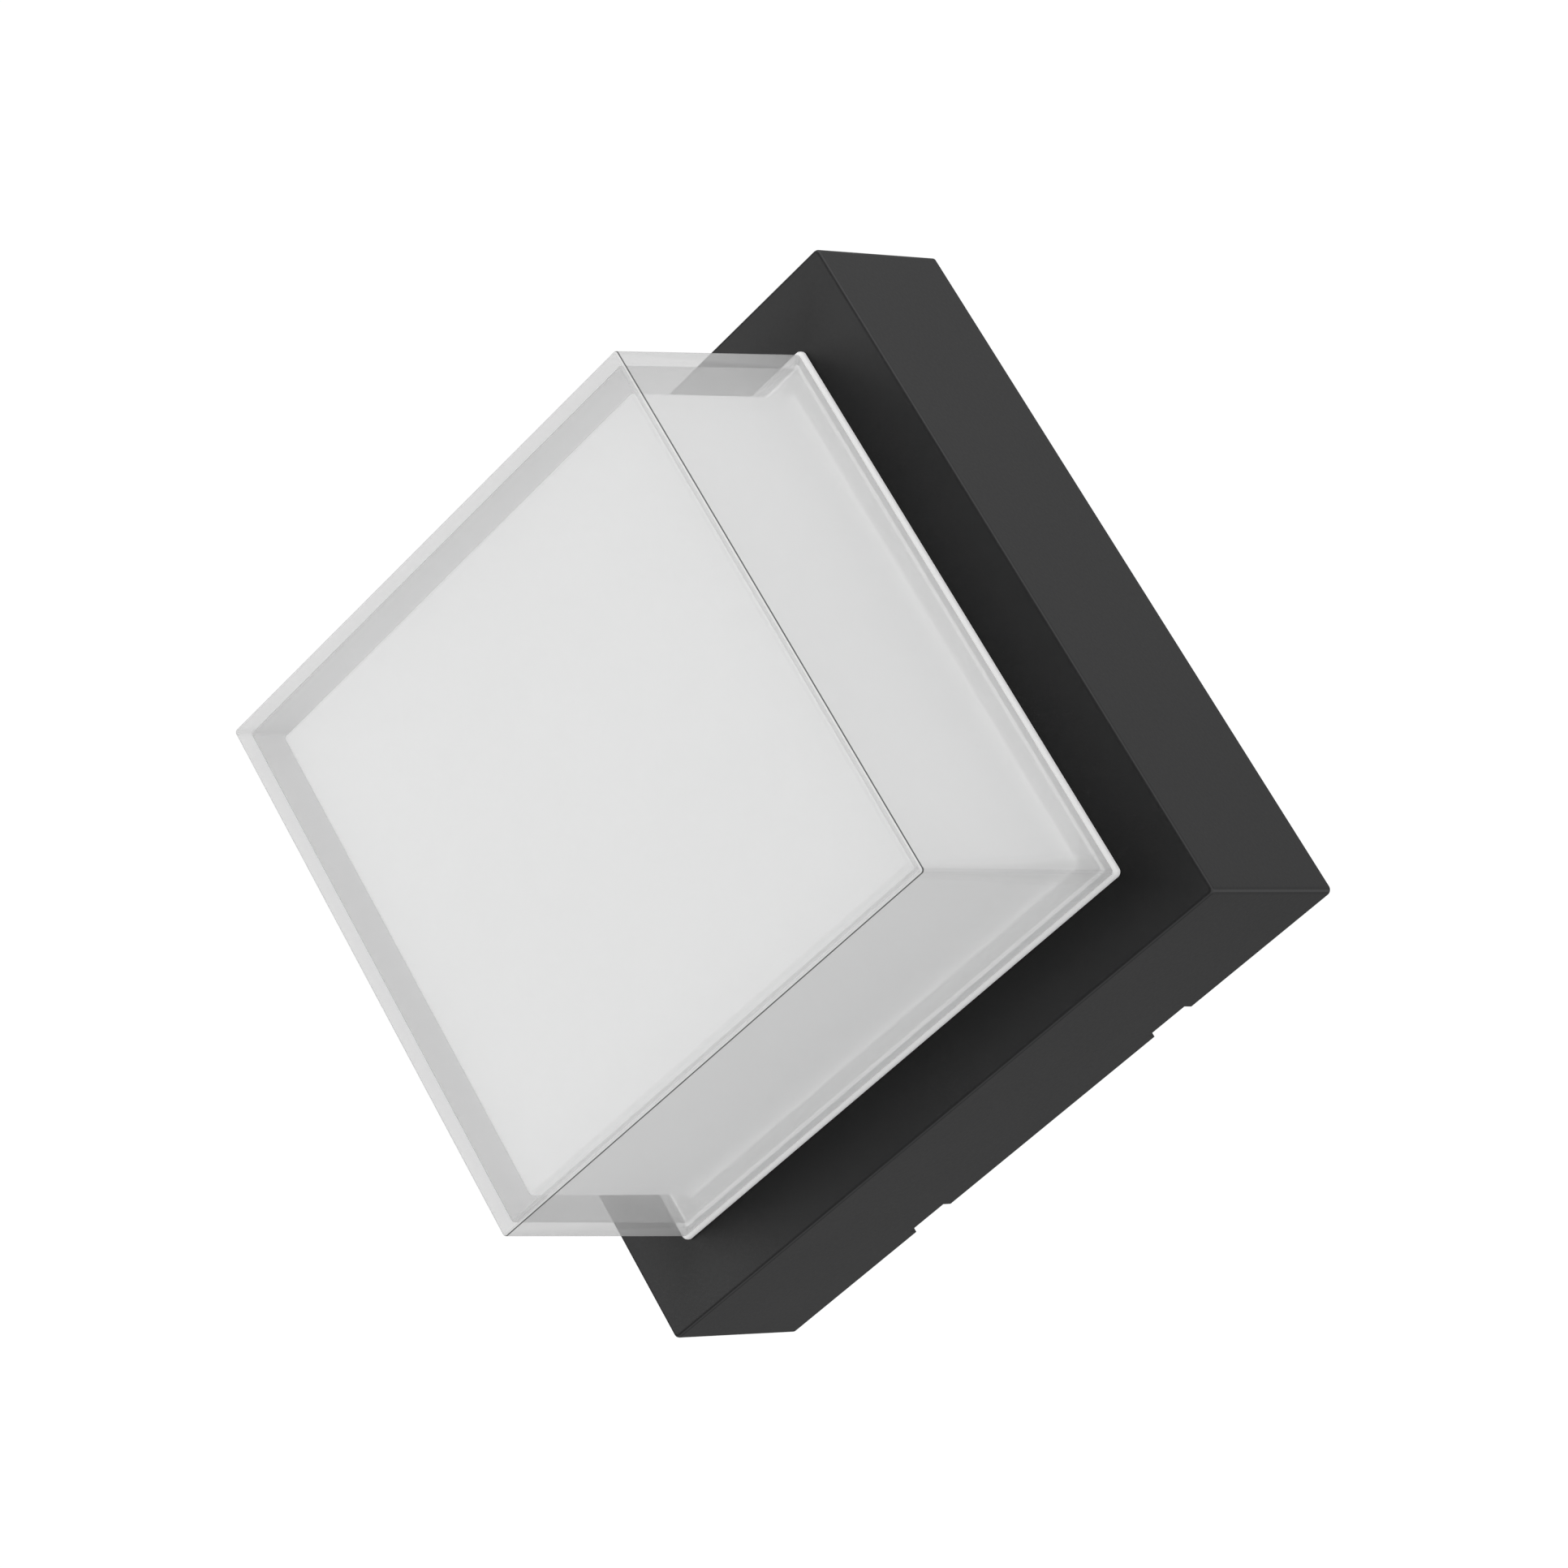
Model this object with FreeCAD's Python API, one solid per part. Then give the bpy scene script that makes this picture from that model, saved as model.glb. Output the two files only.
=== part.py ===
import FreeCAD, Part
import math
import os

# Square outdoor wall lantern that hangs on its corner.
# A clear outer cover stands round a smaller opal box on a black cast housing.
# The housing holds the driver and the terminals, and pushes on to a steel wall bracket.
#
# Working frame while modelling, in millimetres: x to the right, y up, z away from the wall.
# z is called the stand-off below, and 0 is the wall's surface.
# The finished solids are turned so that the wall is the plane Y = 0, +Z is up and -Y faces the room.

Vector = FreeCAD.Vector
ORIGIN = Vector(0, 0, 0)
RIGHT = Vector(1, 0, 0)
UP = Vector(0, 1, 0)
OUT = Vector(0, 0, 1)

# ---- driving sizes ---------------------------------------------------------------------------
HOUSING_BACK = 80.0          # half side of the housing at the wall
HOUSING_FRONT = 78.4         # half side of the housing at its front plate
HOUSING_DEPTH = 40.0
HOUSING_WALL_BACK = 1.5
HOUSING_WALL_FRONT = 2.2
PLATE_THICK = 3.0            # front plate of the housing
HOUSING_CORNER = 1.2
HOUSING_EDGE = 0.8

NOTCH_OFFSET = 35.5          # from the middle of a lower side to the middle of a notch
NOTCH_WIDTH = 10.5
NOTCH_DEPTH = 2.5

COVER_FOOT = 63.45           # half side of the clear cover at the housing's front plate
COVER_FRONT = 60.5           # half side of the clear cover at its front
COVER_TOP = 99.0             # stand-off of the clear cover's front face
COVER_WALL = 2.0
COVER_CORNER = 0.8
COVER_EDGE = 0.6
COVER_INNER_EDGE = 0.6       # radius inside the clear box, at its corners and round its front
COVER_SEAT = 0.3             # how far the clear wall is let into the rim's crown
SHADOW_GAP = 0.2             # between the housing's front plate and the opal flange

OPAL_FOOT = 57.4             # half side of the opal box at the housing's front plate
OPAL_FRONT = 55.15
OPAL_RECESS = 6.5            # opal front face behind the clear front face
OPAL_WALL = 1.8
OPAL_EDGE = 0.8
FLANGE_THICK = 1.0
RIM_OUTER = 64.0             # half sides of the rounded white rim that the clear cover stands on
RIM_INNER = 61.75
RIM_HEIGHT = 1.6
RIM_CORNER = 1.2
RIM_ROUND = 1.1              # both shoulders of the rim, which leaves it nearly half round

BRACKET_THICK = 1.5
BRACKET_HALF = 58.0
ARM_WIDTH = 36.0
ARM_REACH = 76.0             # outer face of the bracket's turned-up arms
ARM_HEIGHT = 17.0
SLOT_SPACING = 84.0
SLOT_LENGTH = 18.0
SLOT_WIDTH = 4.5

BOARD_HALF = 42.0
BOARD_THICK = 1.6
LED_PITCH = 15.0
LED_STEPS = 2                # steps each way from the middle, so five by five without the middle one

# ---- levels that follow from them ------------------------------------------------------------
PLATE_FRONT = HOUSING_DEPTH
PLATE_REAR = HOUSING_DEPTH - PLATE_THICK
FLANGE_REAR = PLATE_FRONT + SHADOW_GAP
FLANGE_FRONT = FLANGE_REAR + FLANGE_THICK
RIM_FRONT = FLANGE_REAR + RIM_HEIGHT
COVER_REAR = RIM_FRONT - COVER_SEAT
OPAL_TOP = COVER_TOP - OPAL_RECESS
PAD_THICK = 0.5
BOARD_REAR = PLATE_FRONT + PAD_THICK
BOARD_FRONT = BOARD_REAR + BOARD_THICK


# ---- shared builders -------------------------------------------------------------------------
def between(low, high, start, end, at):
    """The value on the straight line from low at start to high at end."""
    return low + (high - low) * (at - start) / (end - start)


def housing_half(level):
    return between(HOUSING_BACK, HOUSING_FRONT, 0, HOUSING_DEPTH, level)


def housing_inner_half(level):
    front = HOUSING_FRONT - HOUSING_WALL_FRONT
    return between(HOUSING_BACK - HOUSING_WALL_BACK, front, 0, PLATE_REAR, level)


def cover_half(level):
    return between(COVER_FOOT, COVER_FRONT, PLATE_FRONT, COVER_TOP, level)


def opal_half(level):
    return between(OPAL_FOOT, OPAL_FRONT, PLATE_FRONT, OPAL_TOP, level)


def polygon_face(points):
    return Part.Face(Part.makePolygon(points + [points[0]]))


def tapered_block(half_rear, half_front, rear, front, corner=0.0):
    """A square block that narrows evenly from rear to front, with its four long edges rounded."""
    signs = ((-1, -1), (1, -1), (1, 1), (-1, 1))
    low = [Vector(sx * half_rear, sy * half_rear, rear) for sx, sy in signs]
    high = [Vector(sx * half_front, sy * half_front, front) for sx, sy in signs]
    faces = [polygon_face(list(reversed(low))), polygon_face(high)]
    for i in range(4):
        j = (i + 1) % 4
        faces.append(polygon_face([low[i], low[j], high[j], high[i]]))
    block = Part.Solid(Part.Shell(faces))
    if block.Volume < 0:
        block.reverse()
    if corner:
        long_edges = [e for e in block.Edges if abs(e.Vertexes[0].Z - e.Vertexes[1].Z) > 0.5 * (front - rear)]
        block = block.makeFillet(corner, long_edges)
    return block


def square_block(half, rear, front, corner=0.0):
    return tapered_block(half, half, rear, front, corner)


def edges_at(shape, level):
    """The edges that lie wholly in the plane at this stand-off."""
    return [e for e in shape.Edges if all(abs(v.Z - level) < 1e-4 for v in e.Vertexes)
            and abs(e.CenterOfMass.z - level) < 1e-4]


def block_at(x, y, size_x, size_y, rear, front):
    corner = Vector(x - size_x / 2, y - size_y / 2, rear)
    return Part.makeBox(size_x, size_y, front - rear, corner)


def rounded_block(x, y, size_x, size_y, rear, front, radius):
    block = block_at(x, y, size_x, size_y, rear, front)
    upright = [e for e in block.Edges if abs(e.Vertexes[0].Z - e.Vertexes[1].Z) > 1e-6]
    return block.makeFillet(radius, upright)


def post(x, y, rear, front, radius):
    return Part.makeCylinder(radius, front - rear, Vector(x, y, rear), OUT)


def rod(start, direction, length, radius):
    return Part.makeCylinder(radius, length, start, direction)


def slot_block(x, y, length, width, rear, front, upright=False):
    """A slot's void: a bar with round ends, along x or, if upright, along y."""
    reach = (length - width) / 2
    dx, dy = (0, reach) if upright else (reach, 0)
    bar = block_at(x, y, 2 * dx or width, 2 * dy or width, rear, front)
    ends = [post(x - dx, y - dy, rear, front, width / 2), post(x + dx, y + dy, rear, front, width / 2)]
    return bar.fuse(ends).removeSplitter()


def turned(profile, axis_point, axis):
    """A closed profile of points spun once round an axis."""
    return polygon_face(profile).revolve(axis_point, axis, 360)


def joined(first, others):
    return first.fuse(others).removeSplitter()


def on_corner(shape):
    """Turns a piece that was drawn square so that it hangs on its corner, as the lantern does."""
    shape = shape.copy()
    shape.rotate(ORIGIN, OUT, 45)
    return shape


def four_ways(make):
    """The piece that make() gives, repeated on all four sides."""
    pieces = []
    for quarter in range(4):
        piece = make()
        piece.rotate(ORIGIN, OUT, 90 * quarter)
        pieces.append(piece)
    return pieces


def square_points(offset, along=None):
    """Four corner points, or the eight points that lie along either side of each middle."""
    if along is None:
        return [(sx * offset, sy * offset) for sx in (-1, 1) for sy in (-1, 1)]
    pairs = [(sx * along, sy * offset) for sx in (-1, 1) for sy in (-1, 1)]
    return pairs + [(y, x) for x, y in pairs]


def screw(x, y, seat, length, shank, head, height, forward=True):
    """A cross-recessed pan head screw. The head's underside is at seat, and forward screws point outwards."""
    head_round = 0.3 * height
    cap = post(0, 0, -height, 0, head)
    cap = cap.makeFillet(head_round, edges_at(cap, -height))
    depth = 0.6 * height
    for size_x, size_y in ((1.1 * head, 0.28 * head), (0.28 * head, 1.1 * head)):
        cap = cap.cut(block_at(0, 0, size_x, size_y, -height - 1, depth - height))
    tip = 0.4 * shank
    shaft = post(0, 0, 0, length - tip, shank)
    point = Part.makeCone(shank, 0.5 * shank, tip, Vector(0, 0, length - tip), OUT)
    piece = joined(cap, [shaft, point])
    if not forward:
        piece.rotate(ORIGIN, RIGHT, 180)
    piece.translate(Vector(x, y, seat))
    return piece


def lead_path(points):
    """Straight runs joined by tangent arcs, each arc as large as the shorter of its two runs allows."""
    corners = [Vector(*p) for p in points]
    edges = []
    start = corners[0]
    for before, corner, after in zip(corners, corners[1:], corners[2:]):
        run_in, run_out = before - corner, after - corner
        reach = 0.45 * min(run_in.Length, run_out.Length)
        to_in = Vector(run_in).normalize()
        to_out = Vector(run_out).normalize()
        first = corner + to_in * reach
        last = corner + to_out * reach
        half_open = to_in.getAngle(to_out) / 2
        radius = reach * math.tan(half_open)
        bisector = (to_in + to_out).normalize()
        centre = corner + bisector * (reach / math.cos(half_open))
        middle = centre - bisector * radius
        edges.append(Part.LineSegment(start, first).toShape())
        edges.append(Part.Arc(first, middle, last).toShape())
        start = last
    edges.append(Part.LineSegment(start, corners[-1]).toShape())
    return Part.Wire(edges)


def lead(points, radius):
    """A round insulated lead along a route."""
    path = lead_path(points)
    heading = (Vector(*points[1]) - Vector(*points[0])).normalize()
    ring = Part.Wire(Part.makeCircle(radius, Vector(*points[0]), heading))
    tube = path.makePipeShell([ring], True, True)
    expected = math.pi * radius ** 2 * path.Length
    if abs(tube.Volume / expected - 1) > 0.02:
        print("lead volume is off:", round(tube.Volume, 2), "for", round(expected, 2))
    return tube


# ---- housing ---------------------------------------------------------------------------------
DIFFUSER_BOSS_ALONG = 38.0
DIFFUSER_BOSS_OFFSET = 57.6
DIFFUSER_BOSS_RADIUS = 2.3
DIFFUSER_HOLE_RADIUS = 2.5
GASKET_OUTER = 63.4
GASKET_INNER = 61.2
GROOVE_PLAY = 0.1
GROOVE_FLOOR = 38.5
BOARD_SCREW = 37.0           # the board's screws, from the middle along both sides
M3_HOLE = 1.25
BUSHING_HOLE = 5.0           # hole for the lead grommet in the middle of the plate
BOSS = 3.5

DRIVER_Y = 30.0
DRIVER_EAR_X = 43.0
DRIVER_PAD = 3.0
TERMINAL_Y = -35.0
TERMINAL_FIX_X = 6.0
TERMINAL_REAR = 19.0
TERMINAL_FRONT = 31.0
CLAMP_Y = -13.0
CLAMP_FIX_X = 13.0
CLAMP_SEAT = 29.0
EARTH_X = -47.0
EARTH_Y = -12.0
EARTH_SEAT = 29.0
EARTH_BOSS = 4.5
EARTH_HOLE = 1.65


def housing_bosses():
    """Bosses on the rear of the front plate as (x, y, top, outer radius, hole radius), all upright."""
    bosses = [(sx * DRIVER_EAR_X, DRIVER_Y, PLATE_REAR - DRIVER_PAD, BOSS, M3_HOLE) for sx in (-1, 1)]
    bosses += [(sx * TERMINAL_FIX_X, TERMINAL_Y, TERMINAL_FRONT, 2.6, 1.0) for sx in (-1, 1)]
    bosses += [(sx * CLAMP_FIX_X, CLAMP_Y, CLAMP_SEAT, BOSS, M3_HOLE) for sx in (-1, 1)]
    bosses += [(EARTH_X, EARTH_Y, EARTH_SEAT, EARTH_BOSS, EARTH_HOLE)]
    return bosses


def base_housing():
    outer = tapered_block(HOUSING_BACK, HOUSING_FRONT, 0, HOUSING_DEPTH, HOUSING_CORNER)
    outer = outer.makeFillet(HOUSING_EDGE, edges_at(outer, HOUSING_DEPTH))
    inner = tapered_block(housing_inner_half(-1), housing_inner_half(PLATE_REAR), -1, PLATE_REAR, 0.8)
    shell = outer.cut(inner)
    board_boss_rear = 30.0
    skin = 1.2                   # metal left under a blind hole, towards the front
    shell = joined(shell, [post(x, y, board_boss_rear, PLATE_REAR + 1, BOSS) for x, y in square_points(BOARD_SCREW)])
    voids = [post(x, y, board_boss_rear + 2, PLATE_FRONT + 1, M3_HOLE) for x, y in square_points(BOARD_SCREW)]
    voids += [post(x, y, PLATE_REAR - 1, PLATE_FRONT + 1, DIFFUSER_HOLE_RADIUS)
              for x, y in square_points(DIFFUSER_BOSS_OFFSET, DIFFUSER_BOSS_ALONG)]
    groove = square_block(GASKET_OUTER + GROOVE_PLAY, GROOVE_FLOOR, PLATE_FRONT + 1, 1.1)
    voids.append(groove.cut(square_block(GASKET_INNER - GROOVE_PLAY, GROOVE_FLOOR - 1, PLATE_FRONT + 2, 0.9)))
    for along in (-NOTCH_OFFSET, NOTCH_OFFSET):
        voids.append(block_at(along, -HOUSING_BACK, NOTCH_WIDTH, 6, -1, NOTCH_DEPTH))
        voids.append(block_at(-HOUSING_BACK, along, 6, NOTCH_WIDTH, -1, NOTCH_DEPTH))
    shell = on_corner(shell.cut(voids))
    bosses = [post(x, y, top, PLATE_REAR + 1, radius) for x, y, top, radius, _ in housing_bosses()]
    holes = [post(x, y, top - 1, PLATE_FRONT - skin, hole) for x, y, top, _, hole in housing_bosses()]
    holes.append(post(0, 0, PLATE_REAR - 1, PLATE_FRONT + 1, BUSHING_HOLE))
    return joined(shell, bosses).cut(holes)


# ---- diffuser --------------------------------------------------------------------------------
def cover_shell():
    """The clear box while it is still square to the frame, open towards the wall."""
    outer = tapered_block(cover_half(COVER_REAR), COVER_FRONT, COVER_REAR, COVER_TOP, COVER_CORNER)
    outer = outer.makeFillet(COVER_EDGE, edges_at(outer, COVER_TOP))
    inside_top = COVER_TOP - COVER_WALL
    cavity = tapered_block(cover_half(COVER_REAR - 1) - COVER_WALL, cover_half(inside_top) - COVER_WALL,
                           COVER_REAR - 1, inside_top, COVER_INNER_EDGE)
    cavity = cavity.makeFillet(0.9 * COVER_INNER_EDGE, edges_at(cavity, inside_top))
    return outer.cut(cavity)


def clear_cover():
    return on_corner(cover_shell())


PILOT_RADIUS = 1.3
PILOT_TOP = 40.6
CHANNEL_WIDTH = 0.7          # channel in the flange along the rim's inner foot
CHANNEL_FLOOR = 40.75
DIFFUSER_BOSS_REAR = 37.4


def opal_flange():
    """The opal moulding's flange, which ends in the rounded rim that carries the clear cover."""
    plate = square_block(RIM_OUTER, FLANGE_REAR, RIM_FRONT, RIM_CORNER)
    plate = plate.makeFillet(RIM_ROUND, edges_at(plate, RIM_FRONT))
    well = square_block(RIM_INNER, FLANGE_FRONT, RIM_FRONT + 1, 0.5)
    channel = square_block(RIM_INNER, CHANNEL_FLOOR, RIM_FRONT + 1, 0.5)
    channel = channel.cut(square_block(RIM_INNER - CHANNEL_WIDTH, CHANNEL_FLOOR - 1, FLANGE_FRONT, 0.5))
    plate = plate.cut(well).cut(channel)
    lip = [e for e in edges_at(plate, RIM_FRONT)
           if max(abs(e.CenterOfMass.x), abs(e.CenterOfMass.y)) < RIM_INNER + 0.01]
    return plate.makeFillet(0.9 * (RIM_FRONT - CHANNEL_FLOOR), lip)


def opal_diffuser():
    outer = tapered_block(opal_half(FLANGE_REAR), OPAL_FRONT, FLANGE_REAR, OPAL_TOP, OPAL_EDGE)
    outer = outer.makeFillet(OPAL_EDGE, edges_at(outer, OPAL_TOP))
    spots = square_points(DIFFUSER_BOSS_OFFSET, DIFFUSER_BOSS_ALONG)
    inside_top = OPAL_TOP - OPAL_WALL
    cavity = tapered_block(opal_half(FLANGE_REAR - 1) - OPAL_WALL, opal_half(inside_top) - OPAL_WALL,
                           FLANGE_REAR - 1, inside_top, 0.5)
    box = joined(outer, [opal_flange()]).cut([cavity, cover_shell()])
    boss_top = FLANGE_REAR + 0.5 * FLANGE_THICK
    bosses = [post(x, y, DIFFUSER_BOSS_REAR, boss_top, DIFFUSER_BOSS_RADIUS) for x, y in spots]
    pilots = [post(x, y, DIFFUSER_BOSS_REAR - 1, PILOT_TOP, PILOT_RADIUS) for x, y in spots]
    return on_corner(joined(box, bosses).cut(pilots))


def diffuser_gasket():
    ring = square_block(GASKET_OUTER, GROOVE_FLOOR, FLANGE_REAR, 1.0)
    return on_corner(ring.cut(square_block(GASKET_INNER, GROOVE_FLOOR - 1, FLANGE_REAR + 1, 1.0)))


def diffuser_screws():
    length = PILOT_TOP - PLATE_REAR - 0.2
    spots = square_points(DIFFUSER_BOSS_OFFSET, DIFFUSER_BOSS_ALONG)
    return on_corner(Part.makeCompound([screw(x, y, PLATE_REAR, length, 1.27, 3.4, 1.8) for x, y in spots]))


# ---- light source ----------------------------------------------------------------------------
BOARD_HOLE = 1.7
BOARD_WINDOW = 7.5           # round hole in the board over the lead grommet
PACKAGE = (3.5, 2.8, 0.7)
PHOSPHOR = (2.6, 1.9, 0.1)
REFLECTOR_THICK = 0.5
REFLECTOR_HALF = 47.0
REFLECTOR_RIM = 53.5
REFLECTOR_TOP = 50.0
REFLECTOR_WINDOW = 12.0
SOLDER_Y = 9.5


def led_spots():
    steps = range(-LED_STEPS, LED_STEPS + 1)
    return [(i * LED_PITCH, j * LED_PITCH) for i in steps for j in steps if (i, j) != (0, 0)]


def board_blank(half, rear, front, corner, window):
    blank = square_block(half, rear, front, corner)
    holes = [post(x, y, rear - 1, front + 1, BOARD_HOLE) for x, y in square_points(BOARD_SCREW)]
    return blank.cut(holes + [post(0, 0, rear - 1, front + 1, window)])


def led_board():
    return on_corner(board_blank(BOARD_HALF, BOARD_REAR, BOARD_FRONT, 3.0, BOARD_WINDOW))


def thermal_pad():
    return on_corner(board_blank(BOARD_HALF - 1.5, PLATE_FRONT, BOARD_REAR, 2.0, BOARD_WINDOW))


def chips(size, rear):
    return on_corner(Part.makeCompound([block_at(x, y, size[0], size[1], rear, rear + size[2])
                                        for x, y in led_spots()]))


def led_packages():
    return chips(PACKAGE, BOARD_FRONT)


def led_phosphors():
    return chips(PHOSPHOR, BOARD_FRONT + PACKAGE[2])


def reflector_tray():
    """White sheet on the board with a window for each LED and a sloped rim."""
    tray = tapered_block(REFLECTOR_HALF, REFLECTOR_RIM, BOARD_FRONT, REFLECTOR_TOP, 2.0)
    hollow = tapered_block(REFLECTOR_HALF - REFLECTOR_THICK, REFLECTOR_RIM - REFLECTOR_THICK,
                           BOARD_FRONT + REFLECTOR_THICK, REFLECTOR_TOP + 0.001, 2.0)
    tray = tray.cut(hollow)
    play = 1.0
    floor = (BOARD_FRONT - 1, BOARD_FRONT + 1)
    windows = [block_at(x, y, PACKAGE[0] + play, PACKAGE[1] + play, *floor) for x, y in led_spots()]
    windows += [post(x, y, *floor, BOARD_HOLE) for x, y in square_points(BOARD_SCREW)]
    windows.append(post(0, 0, *floor, REFLECTOR_WINDOW))
    return on_corner(tray.cut(windows))


def board_screws():
    seat = BOARD_FRONT + REFLECTOR_THICK
    return on_corner(Part.makeCompound([screw(x, y, seat, 9.5, 1.22, 2.8, 1.7, forward=False)
                                        for x, y in square_points(BOARD_SCREW)]))


LEAD_RADIUS = 0.8
LEAD_PAIR = 1.1              # each LED lead's distance from the middle of the grommet
MAINS_LEAD_RADIUS = 1.1
LEAD_LEVEL = 26.0
LEAD_LOOP = 47.0
LEAD_END = 43.1


def lead_grommet():
    lip = 6.6
    rear_lip, front_lip = PLATE_REAR - 1.3, PLATE_FRONT + 1.2
    body = joined(post(0, 0, rear_lip, front_lip, BUSHING_HOLE - 0.03),
                  [post(0, 0, rear_lip, PLATE_REAR - 0.02, lip), post(0, 0, PLATE_FRONT + 0.02, front_lip, lip)])
    body = body.makeFillet(0.6, edges_at(body, rear_lip) + edges_at(body, front_lip))
    return body.cut([post(0, sy * LEAD_PAIR, rear_lip - 1, front_lip + 1, LEAD_RADIUS + 0.05) for sy in (-1, 1)])


def led_lead(side, loop):
    """An output lead: out of the driver, round its loop to the grommet and over to its solder joint."""
    y = side * LEAD_PAIR
    tail = [(0, y, LEAD_LEVEL), (0, y, LEAD_LOOP), (0, side * SOLDER_Y, LEAD_LOOP), (0, side * SOLDER_Y, LEAD_END)]
    return lead([(px, py, LEAD_LEVEL) for px, py in loop] + tail, LEAD_RADIUS)


def led_lead_positive():
    return led_lead(1, [(37, 32), (47, 32), (54, 22), (50, 8), (38, LEAD_PAIR)])


def led_lead_negative():
    return led_lead(-1, [(37, 38), (50, 38), (61, 28), (60, 8), (46, -LEAD_PAIR)])


def solder_joints():
    height = LEAD_END - BOARD_FRONT
    return Part.makeCompound([Part.makeCone(1.9, 1.0, height, Vector(0, sy * SOLDER_Y, BOARD_FRONT), OUT)
                              for sy in (-1, 1)])


# ---- driver ----------------------------------------------------------------------------------
DRIVER_LENGTH = 76.0
DRIVER_WIDTH = 34.0
DRIVER_REAR = 17.0
DRIVER_WALL = 1.6
DRIVER_EAR = 2.0
DRIVER_LEADS_OUT = (38.0, 32.0)
DRIVER_LEADS_IN = (38.0, 32.0)
LID_THICK = 1.4


def driver_case():
    """Plastic case with a screwed ear at each end, open towards the wall for its lid."""
    case = rounded_block(0, DRIVER_Y, DRIVER_LENGTH, DRIVER_WIDTH, DRIVER_REAR, PLATE_REAR, 2.5)
    ear_front = PLATE_REAR - DRIVER_PAD
    ear_length = 2 * (DRIVER_EAR_X + 5)
    ears = rounded_block(0, DRIVER_Y, ear_length, 10, ear_front - DRIVER_EAR, ear_front, 3.0)
    case = joined(case, [ears])
    room = rounded_block(0, DRIVER_Y, DRIVER_LENGTH - 2 * DRIVER_WALL, DRIVER_WIDTH - 2 * DRIVER_WALL,
                         DRIVER_REAR - 1, PLATE_REAR - DRIVER_WALL, 1.2)
    ledge = rounded_block(0, DRIVER_Y, DRIVER_LENGTH - 4 * DRIVER_WALL, DRIVER_WIDTH - 4 * DRIVER_WALL,
                          DRIVER_REAR + LID_THICK, PLATE_REAR - DRIVER_WALL, 1.2)
    shelf = rounded_block(0, DRIVER_Y, DRIVER_LENGTH - 2 * DRIVER_WALL, DRIVER_WIDTH - 2 * DRIVER_WALL,
                          DRIVER_REAR + LID_THICK, DRIVER_REAR + 2 * LID_THICK, 1.2).cut(ledge)
    case = case.cut(room).fuse(shelf).removeSplitter()
    depth = 2 * DRIVER_WALL + 1
    holes = [rod(Vector(DRIVER_LENGTH / 2 - depth, y, LEAD_LEVEL), RIGHT, depth + 1, LEAD_RADIUS + 0.1)
             for y in DRIVER_LEADS_OUT]
    holes += [rod(Vector(-DRIVER_LENGTH / 2 - 1, y, LEAD_LEVEL), RIGHT, depth + 1, MAINS_LEAD_RADIUS + 0.1)
              for y in DRIVER_LEADS_IN]
    holes += [post(sx * DRIVER_EAR_X, DRIVER_Y, 0, PLATE_REAR - 1, BOARD_HOLE) for sx in (-1, 1)]
    return case.cut(holes)


def driver_lid():
    play = 0.1
    return rounded_block(0, DRIVER_Y, DRIVER_LENGTH - 2 * DRIVER_WALL - play, DRIVER_WIDTH - 2 * DRIVER_WALL - play,
                         DRIVER_REAR, DRIVER_REAR + LID_THICK, 1.1)


def driver_screws():
    seat = PLATE_REAR - DRIVER_PAD - DRIVER_EAR
    return Part.makeCompound([screw(sx * DRIVER_EAR_X, DRIVER_Y, seat, 6.0, 1.22, 2.8, 1.7) for sx in (-1, 1)])


# ---- supply terminals ------------------------------------------------------------------------
POLE_PITCH = 12.0
POLES = (-POLE_PITCH, 0.0, POLE_PITCH)
BLOCK_SIZE = (37.0, 22.0)
INSERT = (6.0, 17.0, 6.0)
ENTRY_LEVEL = 26.0
ENTRY_RADIUS = 2.2
CLAMPING_Y = 5.0             # each clamping screw's distance from the block's middle
WELL_RADIUS = 2.2


def terminal_block():
    body = block_at(0, TERMINAL_Y, *BLOCK_SIZE, TERMINAL_REAR, TERMINAL_FRONT)
    body = body.makeFillet(0.8, edges_at(body, TERMINAL_REAR))
    voids = []
    for x in POLES:
        bottom = Vector(x, TERMINAL_Y - BLOCK_SIZE[1] / 2 - 1, ENTRY_LEVEL)
        voids.append(rod(bottom, UP, BLOCK_SIZE[1] + 2, ENTRY_RADIUS))
        voids.append(block_at(x, TERMINAL_Y, INSERT[0] + 0.1, INSERT[1] + 0.1,
                              ENTRY_LEVEL - INSERT[2] / 2 - 0.05, TERMINAL_FRONT + 1))
        for sy in (-1, 1):
            voids.append(post(x, TERMINAL_Y + sy * CLAMPING_Y, TERMINAL_REAR - 1, ENTRY_LEVEL, WELL_RADIUS))
    for x in (-TERMINAL_FIX_X, TERMINAL_FIX_X):
        voids.append(post(x, TERMINAL_Y, TERMINAL_REAR - 1, TERMINAL_FRONT + 1, 1.3))
        voids.append(post(x, TERMINAL_Y, TERMINAL_REAR - 1, TERMINAL_REAR + 4, 2.3))
        groove = block_at(x, TERMINAL_Y, 1.2, BLOCK_SIZE[1] + 2, TERMINAL_REAR - 1, TERMINAL_REAR + 2.5)
        voids.append(groove)
    return body.cut(voids)


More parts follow.
